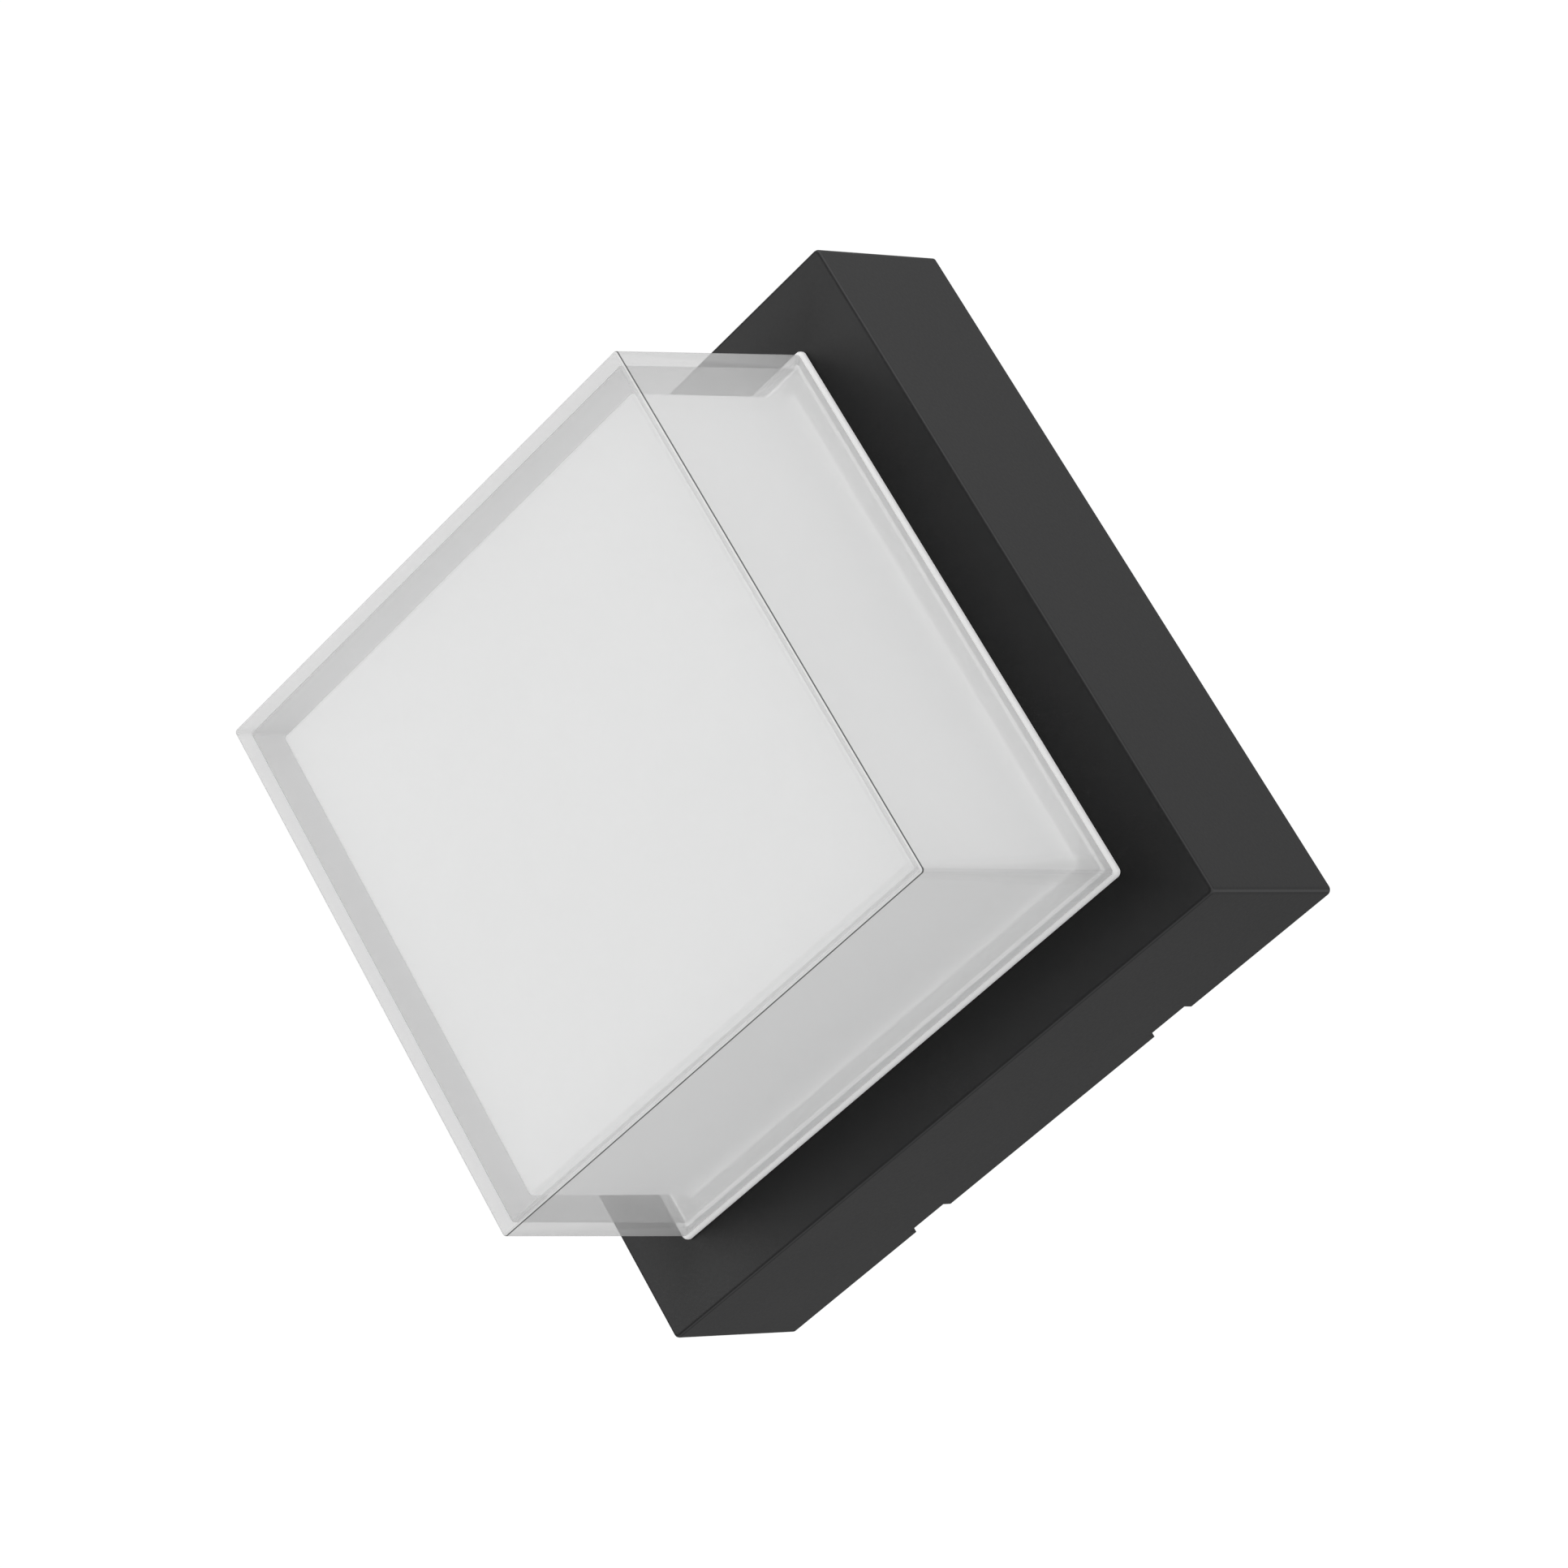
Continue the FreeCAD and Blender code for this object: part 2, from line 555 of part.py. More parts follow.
def terminal_inserts():
    """Brass bars that clamp the cores, one in each pole."""
    bars = []
    for x in POLES:
        bar = block_at(x, TERMINAL_Y, INSERT[0], INSERT[1], ENTRY_LEVEL - INSERT[2] / 2, ENTRY_LEVEL + INSERT[2] / 2)
        start = Vector(x, TERMINAL_Y - INSERT[1], ENTRY_LEVEL)
        voids = [rod(start, UP, 2 * INSERT[1], 1.7)]
        voids += [post(x, TERMINAL_Y + sy * CLAMPING_Y, 0, ENTRY_LEVEL, M3_HOLE) for sy in (-1, 1)]
        bars.append(bar.cut(voids))
    return Part.makeCompound(bars)


def terminal_screws():
    """Slotted grub screws of the terminals."""
    rear = TERMINAL_REAR + 1.0
    tip = ENTRY_LEVEL - 1.5
    neck = ENTRY_LEVEL - INSERT[2] / 2 - 0.2
    pieces = []
    for x in POLES:
        for sy in (-1, 1):
            y = TERMINAL_Y + sy * CLAMPING_Y
            pin = joined(post(x, y, rear, neck, 1.9), [post(x, y, neck, tip, 1.2)])
            pieces.append(pin.cut(block_at(x, y, 5, 0.7, rear - 1, rear + 0.9)))
    return Part.makeCompound(pieces)


def terminal_fixings():
    seat = TERMINAL_REAR + 4
    return Part.makeCompound([screw(x, TERMINAL_Y, seat, 12.0, 0.97, 2.1, 1.4)
                              for x in (-TERMINAL_FIX_X, TERMINAL_FIX_X)])


MAINS_START_Y = TERMINAL_Y - BLOCK_SIZE[1] / 2 + 2.5
BARREL_REACH = 13.0
TAG_THICK = 0.8
TAG_LEVEL = EARTH_SEAT - TAG_THICK
BARREL_LEVEL = 27.2


def mains_lead(loop):
    return lead([(x, y, ENTRY_LEVEL) for x, y in loop], MAINS_LEAD_RADIUS)


def live_lead():
    end_y = DRIVER_LEADS_IN[1]
    return mains_lead([(0, MAINS_START_Y), (0, -57), (-14, -64), (-34, -62), (-52, -46), (-57, -20),
                       (-56, 12), (-50, end_y), (-37, end_y)])


def neutral_lead():
    end_y = DRIVER_LEADS_IN[0]
    return mains_lead([(POLE_PITCH, MAINS_START_Y), (POLE_PITCH, -60), (2, -70), (-33, -68), (-57, -47),
                       (-63, -20), (-62, 16), (-56, end_y), (-37, end_y)])


def earth_lead():
    flat = [(-POLE_PITCH, MAINS_START_Y), (-POLE_PITCH, -54), (-24, -59), (-40, -50)]
    return lead([(x, y, ENTRY_LEVEL) for x, y in flat]
                + [(EARTH_X, -36, BARREL_LEVEL), (EARTH_X, EARTH_Y - BARREL_REACH + 4, BARREL_LEVEL)],
                MAINS_LEAD_RADIUS)


def earth_tag():
    """Ring tag under the earth screw, with the barrel that grips the earth core's end."""
    ring = post(EARTH_X, EARTH_Y, TAG_LEVEL, EARTH_SEAT, 4.0)
    neck = block_at(EARTH_X, EARTH_Y - 5, 3.4, 5, TAG_LEVEL, EARTH_SEAT)
    start = Vector(EARTH_X, EARTH_Y - BARREL_REACH, BARREL_LEVEL)
    barrel = rod(start, UP, 6.5, 1.9)
    tag = joined(ring, [neck, barrel])
    bore = rod(start - UP, UP, 6.0, MAINS_LEAD_RADIUS + 0.1)
    return tag.cut([bore, post(EARTH_X, EARTH_Y, 0, PLATE_FRONT, 2.1)])


def earth_screw():
    washer = post(EARTH_X, EARTH_Y, TAG_LEVEL - 0.8, TAG_LEVEL, 3.8)
    washer = washer.cut(post(EARTH_X, EARTH_Y, 0, PLATE_FRONT, 1.0))
    bolt = screw(EARTH_X, EARTH_Y, TAG_LEVEL - 0.8, 8.0, 1.6, 3.4, 2.2)
    return joined(bolt, [washer])


def cable_clamp():
    """Saddle over the supply cable, with a rounded channel towards the front plate."""
    rear = CLAMP_SEAT - 6.0
    saddle = rounded_block(0, CLAMP_Y, 34, 9, rear, CLAMP_SEAT, 3.0)
    saddle = saddle.makeFillet(1.0, edges_at(saddle, rear))
    channel = rod(Vector(0, CLAMP_Y - 6, CLAMP_SEAT), UP, 12, 4.0)
    teeth = [rod(Vector(0, CLAMP_Y + dy, CLAMP_SEAT), UP, 1.0, 4.5) for dy in (-3.0, -0.5, 2.0)]
    holes = [post(sx * CLAMP_FIX_X, CLAMP_Y, 0, PLATE_REAR, BOARD_HOLE) for sx in (-1, 1)]
    return saddle.cut([channel] + teeth + holes)


def clamp_screws():
    seat = CLAMP_SEAT - 6.0
    return Part.makeCompound([screw(sx * CLAMP_FIX_X, CLAMP_Y, seat, 13.0, 1.22, 2.8, 1.7) for sx in (-1, 1)])


# ---- wall bracket ----------------------------------------------------------------------------
DISH_HOLE = 11.0
DISH_RISE = 1.8
DISH_OUTER = 22.0
RIB_RADIUS = 3.5
RIVET_LEVEL = 5.6
RIVET_RADIUS = 1.5
SPRING_WIDTH = 14.0
SPRING_THICK = 0.4


def bracket_arm():
    """One arm: out from the plate, round a bend and forward along the housing's wall."""
    t, bend = BRACKET_THICK, 3.0
    inner, foot = ARM_REACH - t, BRACKET_HALF - 8
    half_width = ARM_WIDTH / 2
    corner = Vector(ARM_REACH - bend, -half_width, bend)
    diagonal = Vector(1, 0, -1).normalize()
    points = [Vector(foot, -half_width, 0), Vector(corner.x, -half_width, 0)]
    outer_arc = Part.Arc(points[1], corner + diagonal * bend, Vector(ARM_REACH, -half_width, bend)).toShape()
    inner_arc = Part.Arc(Vector(inner, -half_width, bend), corner + diagonal * (bend - t),
                         Vector(corner.x, -half_width, t)).toShape()
    top_outer = Vector(ARM_REACH, -half_width, ARM_HEIGHT)
    top_inner = Vector(inner, -half_width, ARM_HEIGHT)
    wire = Part.Wire([
        Part.makeLine(points[0], points[1]), outer_arc,
        Part.makeLine(Vector(ARM_REACH, -half_width, bend), top_outer),
        Part.makeLine(top_outer, top_inner),
        Part.makeLine(top_inner, Vector(inner, -half_width, bend)), inner_arc,
        Part.makeLine(Vector(corner.x, -half_width, t), Vector(foot, -half_width, t)),
        Part.makeLine(Vector(foot, -half_width, t), points[0]),
    ])
    arm = Part.Face(wire).extrude(UP * ARM_WIDTH)
    tips = [e for e in arm.Edges if abs(e.Length - t) < 1e-6 and abs(e.CenterOfMass.z - ARM_HEIGHT) < 1e-6]
    return arm.makeFillet(3.0, tips)


def bracket_rib(radius):
    """A capsule along +x with its middle in the wall plane, for the pressed rib and its hollow."""
    start, end = DISH_OUTER + 7, ARM_REACH - 12
    bar = rod(Vector(start, 0, 0), RIGHT, end - start, radius)
    return bar.fuse([Part.makeSphere(radius, Vector(x, 0, 0)) for x in (start, end)])


def wall_bracket():
    """Pressed steel plate with a dished cable hole, ribs, wall slots and four turned-up arms."""
    plate = square_block(BRACKET_HALF, 0, BRACKET_THICK, 8.0)
    plate = plate.cut(post(0, 0, -1, BRACKET_THICK + 1, DISH_OUTER))
    dish_profile = [(DISH_OUTER, 0), (DISH_OUTER - 1, 0), (DISH_OUTER - 1 - DISH_RISE, DISH_RISE),
                    (DISH_HOLE, DISH_RISE), (DISH_HOLE, DISH_RISE + BRACKET_THICK),
                    (DISH_OUTER - DISH_RISE - 0.4, DISH_RISE + BRACKET_THICK),
                    (DISH_OUTER - 0.4, BRACKET_THICK), (DISH_OUTER, BRACKET_THICK)]
    dish = turned([Vector(r, 0, z) for r, z in dish_profile], ORIGIN, OUT)
    plate = joined(plate, [dish] + four_ways(bracket_arm))
    behind = block_at(0, 0, 4 * ARM_REACH, 4 * ARM_REACH, -20, 0)
    ribs = [rib.cut(behind) for rib in four_ways(lambda: bracket_rib(RIB_RADIUS))]
    plate = joined(plate, ribs)
    plate = plate.cut(four_ways(lambda: bracket_rib(RIB_RADIUS - BRACKET_THICK)))
    plate = plate.cut(four_ways(lambda: rod(Vector(ARM_REACH - 5, 0, RIVET_LEVEL), RIGHT, 10, RIVET_RADIUS)))
    plate = on_corner(plate)
    half = SLOT_SPACING / 2
    slots = [slot_block(sx * half, 0, SLOT_LENGTH, SLOT_WIDTH, -1, BRACKET_THICK + 1) for sx in (-1, 1)]
    slots += [slot_block(0, sy * half, SLOT_LENGTH, SLOT_WIDTH, -1, BRACKET_THICK + 1, True) for sy in (-1, 1)]
    return plate.cut(slots)


CABLE_RADIUS = 4.0           # bore of the grommet for the supply cable
CABLE_GROMMET_REAR = 0.4
CABLE_GROMMET_FRONT = 6.5


def cable_grommet():
    play = 0.05
    lip, nose = DISH_HOLE + 2.5, DISH_HOLE - 4
    profile = [(CABLE_RADIUS, CABLE_GROMMET_REAR), (lip - 0.5, CABLE_GROMMET_REAR), (lip, CABLE_GROMMET_REAR + 0.5),
               (lip, DISH_RISE - play), (DISH_HOLE - play, DISH_RISE - play),
               (DISH_HOLE - play, DISH_RISE + BRACKET_THICK + play), (lip, DISH_RISE + BRACKET_THICK + play),
               (lip - 0.6, DISH_RISE + BRACKET_THICK + 1.2), (nose, CABLE_GROMMET_FRONT),
               (CABLE_RADIUS, CABLE_GROMMET_FRONT)]
    return turned([Vector(r, 0, z) for r, z in profile], ORIGIN, OUT)


def clip_spring():
    """Bowed leaf on the outside of an arm, which grips the inside of the housing."""
    t, root, crown = SPRING_THICK, ARM_REACH, ARM_REACH + 1.2
    profile = [(root, 3.6), (root + t, 3.6), (root + t, 7.6), (crown + t, 12.0), (root + t + 0.5, 16.6),
               (root + 0.5, 16.6), (crown, 12.0), (root, 7.8)]
    leaf = polygon_face([Vector(x, -SPRING_WIDTH / 2, z) for x, z in profile]).extrude(UP * SPRING_WIDTH)
    return leaf.cut(rod(Vector(ARM_REACH - 5, 0, RIVET_LEVEL), RIGHT, 10, RIVET_RADIUS))


def spring_rivet():
    inner, outer = ARM_REACH - BRACKET_THICK, ARM_REACH + SPRING_THICK
    shank, head, rise = RIVET_RADIUS - 0.03, 1.9, 0.8
    profile = [(inner - rise, 0), (inner - rise, 1.2), (inner - 0.02, head), (inner - 0.02, shank),
               (outer + 0.02, shank), (outer + 0.02, head), (outer + rise, 1.2), (outer + rise, 0)]
    points = [Vector(x, y, RIVET_LEVEL) for x, y in profile]
    return turned(points, Vector(0, 0, RIVET_LEVEL), RIGHT)


def clip_springs():
    return on_corner(Part.makeCompound(four_ways(clip_spring)))


def spring_rivets():
    return on_corner(Part.makeCompound(four_ways(spring_rivet)))


# ---- write every node ------------------------------------------------------------------------
PIECES = (
    base_housing, clear_cover, opal_diffuser, diffuser_gasket, diffuser_screws,
    led_board, thermal_pad, led_packages, led_phosphors, reflector_tray, board_screws,
    lead_grommet, led_lead_positive, led_lead_negative, solder_joints,
    driver_case, driver_lid, driver_screws,
    terminal_block, terminal_inserts, terminal_screws, terminal_fixings,
    live_lead, neutral_lead, earth_lead, earth_tag, earth_screw, cable_clamp, clamp_screws,
    wall_bracket, cable_grommet, clip_springs, spring_rivets,
)

os.makedirs("parts", exist_ok=True)
for make in PIECES:
    piece = make()
    piece.rotate(ORIGIN, RIGHT, 90)
    if not piece.isValid() or any(s.Volume <= 0 for s in piece.Solids):
        print("check this piece:", make.__name__)
    box = piece.BoundBox
    print(f"{make.__name__:20s} solids {len(piece.Solids):2d}  volume {piece.Volume / 1000:8.3f} cm3  "
          f"size {box.XLength:6.1f} {box.YLength:6.1f} {box.ZLength:6.1f}")
    piece.exportStep(f"parts/{make.__name__}.step")
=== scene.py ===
import math

import bpy
from mathutils import Matrix, Vector

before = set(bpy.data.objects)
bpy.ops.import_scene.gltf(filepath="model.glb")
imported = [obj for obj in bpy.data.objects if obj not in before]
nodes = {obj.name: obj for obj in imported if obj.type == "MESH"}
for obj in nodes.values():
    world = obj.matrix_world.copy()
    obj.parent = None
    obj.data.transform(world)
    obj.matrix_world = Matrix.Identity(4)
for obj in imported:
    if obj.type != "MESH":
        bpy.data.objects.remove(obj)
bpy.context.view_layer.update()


# ---- Camera ----------------------------------------------------------------------------------
# A long lens a little under a metre away, to the right of the lantern and just above its middle,
# with the camera rolled a few degrees.
CAMERA_PLACE = Vector((0.5556, -0.7845, 0.0826))
CAMERA_RIGHT = Vector((0.7930, 0.5957, 0.1280))
CAMERA_AHEAD = Vector((-0.5897, 0.8032, -0.0843))
FILM_WIDTH = 36.0            # millimetres, as the lens is
LENS = 106.8
NEAREST = 0.05
FARTHEST = 60.0

camera_data = bpy.data.cameras.new("studio_camera")
camera_data.sensor_width = FILM_WIDTH
camera_data.lens = LENS
camera_data.clip_start = NEAREST
camera_data.clip_end = FARTHEST
camera = bpy.data.objects.new("studio_camera", camera_data)
bpy.context.scene.collection.objects.link(camera)
ahead = CAMERA_AHEAD.normalized()
right = (CAMERA_RIGHT - ahead * CAMERA_RIGHT.dot(ahead)).normalized()
up = right.cross(ahead)
turn = Matrix((right, up, -ahead)).transposed().to_4x4()
camera.matrix_world = Matrix.Translation(CAMERA_PLACE) @ turn
bpy.context.scene.camera = camera
bpy.context.scene.view_settings.view_transform = "Standard"


# ---- Studio light ----------------------------------------------------------------------------
# A white tent all round, soft boxes to the left and a small one near the top corner. The tent's
# light is set for six directions.
BACKDROP = 1.02                                       # the tent as it shows behind the lantern
#             left  right front back  below above
TENT_ROUND = (0.0, 1.13, 0.0, 0.29, 0.57, 1.02)
# Each soft box: name, place, side and power.
SOFT_BOXES = (
    ("left_high_box", (-0.95, -1.25, 0.60), 1.0, 2.35),
    ("left_low_box", (-0.95, -1.25, -0.20), 1.0, 10.6),
    ("corner_box", (0.03, -0.03, 0.36), 0.15, 0.145),
)
SOFT_BOX_AIM = Vector((0, -0.04, 0))                  # in the middle of the lantern

world = bpy.data.worlds.new("studio_tent")
bpy.context.scene.world = world
world.use_nodes = True
tent = world.node_tree
tent.nodes.clear()
tent_out = tent.nodes.new("ShaderNodeOutputWorld")
tent_shade = tent.nodes.new("ShaderNodeBackground")
tent_shade.inputs["Color"].default_value = (1, 1, 1, 1)
tent_path = tent.nodes.new("ShaderNodeLightPath")
tent_place = tent.nodes.new("ShaderNodeTexCoord")
tent_split = tent.nodes.new("ShaderNodeSeparateXYZ")
tent.links.new(tent_place.outputs["Generated"], tent_split.inputs[0])


def feed(tree, socket, value):
    """Gives a node's socket another socket's output, a number, or a colour of three or four parts."""
    if isinstance(value, bpy.types.NodeSocket):
        tree.links.new(value, socket)
    elif isinstance(value, tuple):
        socket.default_value = (*value, 1)[:4]
    else:
        socket.default_value = value


def maths(tree, kind, first, second=0):
    node = tree.nodes.new("ShaderNodeMath")
    node.operation = kind
    feed(tree, node.inputs[0], first)
    feed(tree, node.inputs[1], second)
    return node.outputs[0]


def tent_blend(factor, first, second):
    """One number or the other for the tent's strength, by a factor."""
    node = tent.nodes.new("ShaderNodeMix")
    for socket, value in zip((node.inputs[0], node.inputs[2], node.inputs[3]), (factor, first, second)):
        feed(tent, socket, value)
    return node.outputs[0]


def tent_lobes(strengths):
    """The tent's strength in a direction: for each axis the strength on that side times the direction's
    part along the axis squared, added up. The three squares add up to one."""
    total = 0.0
    for axis, (low, high) in zip("XYZ", (strengths[:2], strengths[2:4], strengths[4:])):
        along = tent_split.outputs[axis]
        side = tent_blend(maths(tent, "GREATER_THAN", along), low, high)
        squared = maths(tent, "MULTIPLY", along, along)
        total = maths(tent, "ADD", total, maths(tent, "MULTIPLY", side, squared))
    return total


strength = tent_blend(tent_path.outputs["Is Camera Ray"], tent_lobes(TENT_ROUND), BACKDROP)
tent.links.new(strength, tent_shade.inputs["Strength"])
tent.links.new(tent_shade.outputs[0], tent_out.inputs[0])

for box_name, box_place, box_side, box_power in SOFT_BOXES:
    box_data = bpy.data.lights.new(box_name, "AREA")
    box_data.shape = "SQUARE"
    box_data.size = box_side
    box_data.energy = box_power
    box = bpy.data.objects.new(box_name, box_data)
    bpy.context.scene.collection.objects.link(box)
    box.location = box_place
    box.rotation_mode = "QUATERNION"
    box.rotation_quaternion = (SOFT_BOX_AIM - box.location).to_track_quat("-Z", "Y")
    box.visible_camera = False


# ---- Floor -----------------------------------------------------------------------------------
# A pale studio floor well below the lantern. Like the tent it is lit from behind, through white
# cloth, so it glows evenly and runs into the tent without an edge.
FLOOR_LEVEL = -0.45
FLOOR_HALF = 14.0
FLOOR_GREY = (0.02, 0.02, 0.02, 1)

floor_corners = ((-1, -1), (1, -1), (1, 1), (-1, 1))
floor_points = [(sx * FLOOR_HALF, sy * FLOOR_HALF, FLOOR_LEVEL) for sx, sy in floor_corners]
floor_mesh = bpy.data.meshes.new("studio_floor")
floor_mesh.from_pydata(floor_points, [], [(0, 1, 2, 3)])
floor = bpy.data.objects.new("studio_floor", floor_mesh)
bpy.context.scene.collection.objects.link(floor)
floor_paint = bpy.data.materials.new("pale_floor")
floor_paint.use_nodes = True
floor_shade = floor_paint.node_tree.nodes["Principled BSDF"]
floor_shade.inputs["Base Color"].default_value = FLOOR_GREY
floor_shade.inputs["Roughness"].default_value = 1.0
floor_shade.inputs["Specular IOR Level"].default_value = 0.0
floor_shade.inputs["Emission Color"].default_value = (1, 1, 1, 1)
floor_shade.inputs["Emission Strength"].default_value = BACKDROP
floor_mesh.materials.append(floor_paint)
floor.visible_diffuse = False
floor.visible_glossy = False
floor.visible_transmission = False
floor.visible_shadow = False


# ---- Housing ---------------------------------------------------------------------------------
# The black body: die-cast aluminium with a satin powder coat, which has a fine orange-peel skin.
# Everything else on the lantern is fixed to it, and the bracket's springs grip it from inside.
def group_with(name, inputs, outputs):
    """An empty shader node group with the named sockets, and its input and output nodes."""
    tree = bpy.data.node_groups.new(name, "ShaderNodeTree")
    for label, kind, value in inputs:
        socket = tree.interface.new_socket(name=label, in_out="INPUT", socket_type="NodeSocket" + kind)
        socket.default_value = value
    for label, kind in outputs:
        tree.interface.new_socket(name=label, in_out="OUTPUT", socket_type="NodeSocket" + kind)
    return tree, tree.nodes.new("NodeGroupInput"), tree.nodes.new("NodeGroupOutput")


def noise_in(tree, vector, scale, detail, rough=0.5):
    texture = tree.nodes.new("ShaderNodeTexNoise")
    texture.inputs["Detail"].default_value = detail
    texture.inputs["Roughness"].default_value = rough
    feed(tree, texture.inputs["Vector"], vector)
    feed(tree, texture.inputs["Scale"], scale)
    return texture.outputs["Fac"]


def mixed(tree, factor, first, second):
    """The first colour where the factor is 0 and the second where it is 1."""
    node = tree.nodes.new("ShaderNodeMix")
    node.data_type = "RGBA"
    for socket, value in ((node.inputs[0], factor), (node.inputs[6], first), (node.inputs[7], second)):
        feed(tree, socket, value)
    return node.outputs[2]


def ramp(tree, value, low, high):
    """0 up to the first number and 1 past the second, or the other way about, smooth in between."""
    node = tree.nodes.new("ShaderNodeMapRange")
    node.interpolation_type = "SMOOTHSTEP"
    node.inputs["From Min"].default_value = min(low, high)
    node.inputs["From Max"].default_value = max(low, high)
    node.inputs["To Min"].default_value = float(low > high)
    node.inputs["To Max"].default_value = float(low < high)
    tree.links.new(value, node.inputs["Value"])
    return node.outputs["Result"]


def axes_of(tree, coordinate):
    """The three parts of the object's own position or normal, as outputs X, Y and Z."""
    split = tree.nodes.new("ShaderNodeSeparateXYZ")
    tree.links.new(tree.nodes.new("ShaderNodeTexCoord").outputs[coordinate], split.inputs[0])
    return split.outputs


# Grain: a fine noise and a slow one. The slow one shifts the colour, both shift the roughness, and the
# fine one lifts the skin.
grain, grain_in, grain_out = group_with(
    "grain",
    [("Colour", "Color", (0.5, 0.5, 0.5, 1)), ("Second Colour", "Color", (0.5, 0.5, 0.5, 1)),
     ("Roughness", "Float", 0.5), ("Spread", "Float", 0.1), ("Fine Scale", "Float", 1500.0),
     ("Slow Scale", "Float", 40.0)],
    [("Colour", "Color"), ("Roughness", "Float"), ("Height", "Float")])
FINE_OCTAVES = 2.0
SLOW_OCTAVES = 4.0
SLOW_KEEP = 0.6              # how much of its strength each of the slow noise's octaves hands on
NOISE_MIDDLE = 0.5           # the mean of either noise
grain_place = grain.nodes.new("ShaderNodeTexCoord").outputs["Object"]
grain_fine = noise_in(grain, grain_place, grain_in.outputs["Fine Scale"], FINE_OCTAVES)
grain_slow = noise_in(grain, grain_place, grain_in.outputs["Slow Scale"], SLOW_OCTAVES, SLOW_KEEP)
grain_colour = mixed(grain, grain_slow, grain_in.outputs["Colour"], grain_in.outputs["Second Colour"])
grain.links.new(grain_colour, grain_out.inputs["Colour"])
grain_spread = grain_in.outputs["Spread"]
grain_shift = maths(grain, "MULTIPLY", maths(grain, "SUBTRACT", grain_slow, NOISE_MIDDLE), grain_spread)
grain_speck = maths(grain, "MULTIPLY", maths(grain, "SUBTRACT", grain_fine, NOISE_MIDDLE), grain_spread)
grain_rough = maths(grain, "ADD", grain_in.outputs["Roughness"], grain_shift)
grain.links.new(maths(grain, "ADD", grain_rough, grain_speck), grain_out.inputs["Roughness"])
grain.links.new(grain_fine, grain_out.inputs["Height"])


def grained(name, colour, second, roughness, spread, fine, slow, bump, depth, metallic=0.0, **more):
    """A material whose two colours, roughness (with its spread) and skin come from the grain group. The
    fine and the slow scale are in spots per metre, and the bump's depth is in metres."""
    made = bpy.data.materials.new(name)
    made.use_nodes = True
    tree = made.node_tree
    shade = tree.nodes["Principled BSDF"]
    skin = tree.nodes.new("ShaderNodeGroup")
    skin.node_tree = grain
    for label, value in (("Colour", (*colour, 1)), ("Second Colour", (*second, 1)),
                         ("Roughness", roughness), ("Spread", spread),
                         ("Fine Scale", fine), ("Slow Scale", slow)):
        skin.inputs[label].default_value = value
    lift = tree.nodes.new("ShaderNodeBump")
    lift.inputs["Strength"].default_value = bump
    lift.inputs["Distance"].default_value = depth
    tree.links.new(skin.outputs["Colour"], shade.inputs["Base Color"])
    tree.links.new(skin.outputs["Roughness"], shade.inputs["Roughness"])
    tree.links.new(skin.outputs["Height"], lift.inputs["Height"])
    tree.links.new(lift.outputs["Normal"], shade.inputs["Normal"])
    shade.inputs["Metallic"].default_value = metallic
    for label, value in more.items():
        shade.inputs[label.replace("_", " ")].default_value = value
    return made


def overlay(material, mask, colour):
    """Lays a colour over the material's own where the mask is 1."""
    tree = material.node_tree
    socket = tree.nodes["Principled BSDF"].inputs["Base Color"]
    tree.links.new(mixed(tree, mask, socket.links[0].from_socket, colour), socket)


def dress(material, *names):
    """Gives every material slot of the named nodes this material."""
    for name in names:
        mesh = nodes[name].data
        if not mesh.materials:
            mesh.materials.append(material)
        for i in range(len(mesh.materials)):
            mesh.materials[i] = material


# Moulded edges: a face square to the box has one normal part near 1, a rounded edge has none. "Corner"
# is a rounded edge between two sides, "Brim" one round the front, "Crest" the middle of either,
# "Front" a face to the front or back, "Lean" how far a face turns to the front or back, and "Reach"
# and "Nook" the larger and the smaller of the two distances from the middle along the box's sides.
EDGE_MASKS = ("Corner", "Brim", "Crest", "Front", "Lean", "Reach", "Nook")
ROUNDED = (0.993, 0.95)      # the largest part of the normal as a face starts to be a rounded edge
CREST = (0.88, 0.78)         # and at the middle of it
LEANING = (0.08, 0.16)       # the normal's front part as a side's edge becomes the brim
FACING = (0.90, 0.97)        # and as a face becomes a front
edges, _, edges_out = group_with("moulded_edges", [], [(mask, "Float") for mask in EDGE_MASKS])


def side_parts(tree, axes):
    """The larger and the smaller of a vector's two parts along the box's sides, which stand at 45
    degrees to X and Z: the sum and the difference of X and Z, each times the root of a half."""
    across = maths(tree, "ABSOLUTE", maths(tree, "ADD", axes["X"], axes["Z"]))
    along = maths(tree, "ABSOLUTE", maths(tree, "SUBTRACT", axes["Z"], axes["X"]))
    return [maths(tree, "MULTIPLY", maths(tree, pick, across, along), math.sqrt(0.5))
            for pick in ("MAXIMUM", "MINIMUM")]


edges_normal = axes_of(edges, "Normal")
front_part = maths(edges, "ABSOLUTE", edges_normal["Y"])
square_part = maths(edges, "MAXIMUM", side_parts(edges, edges_normal)[0], front_part)
rounded = ramp(edges, square_part, *ROUNDED)
leaning = ramp(edges, front_part, *LEANING)
edges_reach, edges_nook = side_parts(edges, axes_of(edges, "Object"))
for mask, value in (("Corner", maths(edges, "MULTIPLY", rounded, maths(edges, "SUBTRACT", 1, leaning))),
                    ("Brim", maths(edges, "MULTIPLY", rounded, leaning)),
                    ("Crest", ramp(edges, square_part, *CREST)),
                    ("Front", ramp(edges, front_part, *FACING)),
                    ("Lean", front_part), ("Reach", edges_reach), ("Nook", edges_nook)):
    edges.links.new(value, edges_out.inputs[mask])


